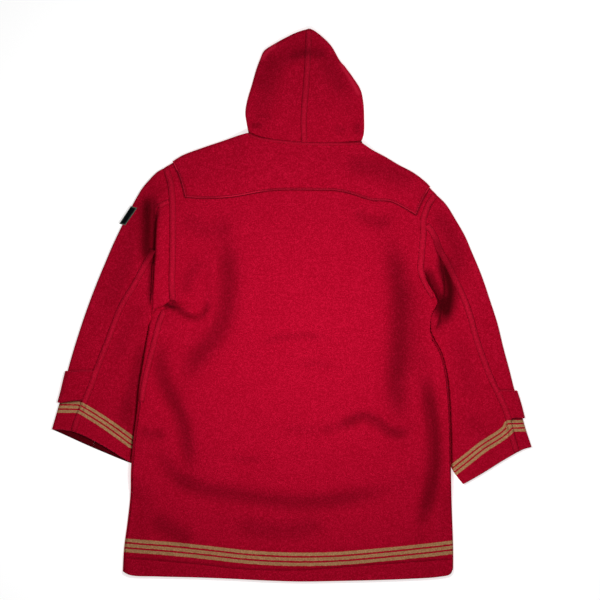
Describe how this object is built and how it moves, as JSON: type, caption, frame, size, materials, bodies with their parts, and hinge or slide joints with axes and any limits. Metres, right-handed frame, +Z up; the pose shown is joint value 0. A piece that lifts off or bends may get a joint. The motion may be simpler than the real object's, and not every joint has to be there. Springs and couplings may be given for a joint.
{
  "type": "duffle coat",
  "caption": "Hooded wool duffle coat laid flat with its back up, with an overlaid back yoke, two-piece sleeves and cuff straps",
  "frame": {"origin": "middle of the coat's bounding box, on the surface that it lies on", "axes": "+Z up from the surface, +Y from the hem to the hood, +X to the wearer's right as seen from above the back"},
  "size_m": [1.0568, 1.2178, 0.027],
  "materials": {
    "wool": "thick brushed red wool cloth with a short nap, tan woven bars at hem and cuffs",
    "badge": "plain black woven tab with a dull edge"
  },
  "bodies": {
    "root": {"back": "wool", "back_yoke": "wool", "front_left": "wool", "front_right": "wool", "hood_left": "wool", "hood_right": "wool", "sleeve_left_top": "wool", "sleeve_left_under": "wool", "sleeve_right_top": "wool", "sleeve_right_under": "wool", "cuff_strap_left": "wool", "cuff_strap_right": "wool", "sleeve_badge": "badge"}
  },
  "joints": []
}
